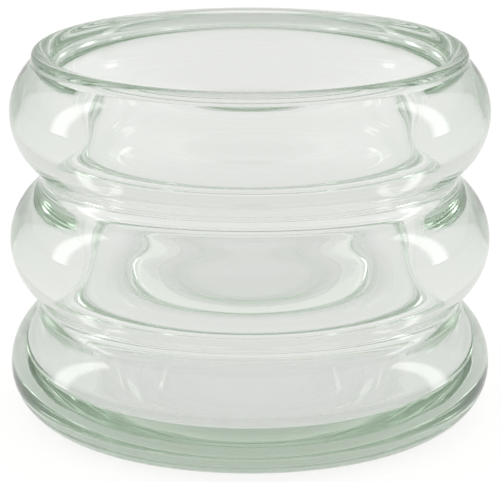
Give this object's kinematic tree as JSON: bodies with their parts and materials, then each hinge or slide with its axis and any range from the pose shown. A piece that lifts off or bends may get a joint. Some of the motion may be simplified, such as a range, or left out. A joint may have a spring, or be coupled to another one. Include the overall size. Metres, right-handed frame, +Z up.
{
  "type": "glass votive holder",
  "caption": "Thick clear glass votive holder: a stack of rounded rings with a short lip round an open-topped candle cup, whose wall swells out a little into each ring, and a shallow hollow under the foot.",
  "frame": {"origin": "centre of the flat ring that the glass stands on, on the glass's axis", "axes": "+Z up along the axis of the glass, out of the mouth; X and Y lie in the plane it stands on and are interchangeable"},
  "size_m": [0.09, 0.09, 0.069],
  "materials": {
    "clear_glass": "clear mould-blown soda-lime glass with a faint grey-green cast, glossy and fire-polished"
  },
  "bodies": {
    "root": {"glass_body": "clear_glass"}
  },
  "joints": []
}
